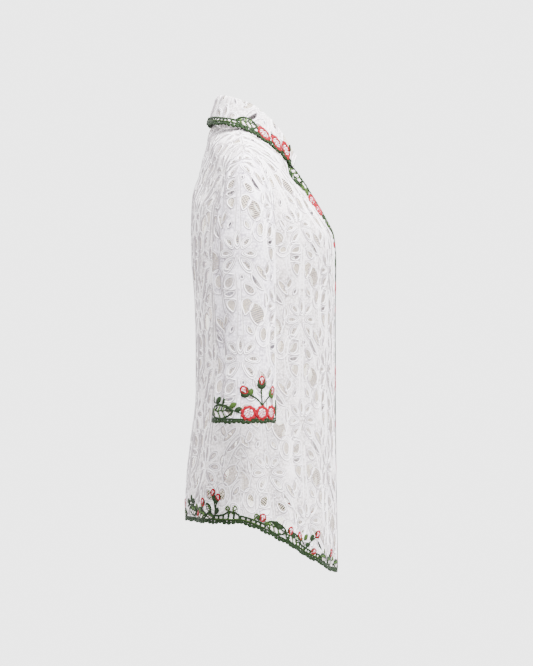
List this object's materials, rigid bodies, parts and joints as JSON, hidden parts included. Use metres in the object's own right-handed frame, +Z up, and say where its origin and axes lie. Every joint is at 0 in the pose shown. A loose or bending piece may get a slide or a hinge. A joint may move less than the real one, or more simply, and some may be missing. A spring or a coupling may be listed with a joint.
{
  "type": "kebaya blouse",
  "caption": "Hip-length kebaya blouse in white openwork lace with a fold-over collar, V front, set-in three-quarter sleeves and floral embroidered edging, in its worn shape.",
  "frame": {"origin": "the middle of the neck opening at the height of the shoulder seams, where the wearer's shoulders carry the blouse", "axes": "+Z up, the fronts face -Y, and the wearer's right side is at -X"},
  "size_m": [0.6726, 0.2504, 0.7765],
  "materials": {
    "lace": "white floral openwork lace, matt, with soft raised cords and barred openings",
    "edging": "green embroidered braid with leaves, red and pink roses and rosebuds, slight thread sheen"
  },
  "bodies": {
    "root": {"front_right": "lace", "front_left": "lace", "back": "lace", "sleeve_right": "lace", "sleeve_left": "lace", "collar": "lace", "collar_edging": "edging", "front_edging_right": "edging", "front_edging_left": "edging", "hem_edging_right": "edging", "hem_edging_left": "edging", "hem_edging_back": "edging", "cuff_edging_right": "edging", "cuff_edging_left": "edging"}
  },
  "joints": []
}
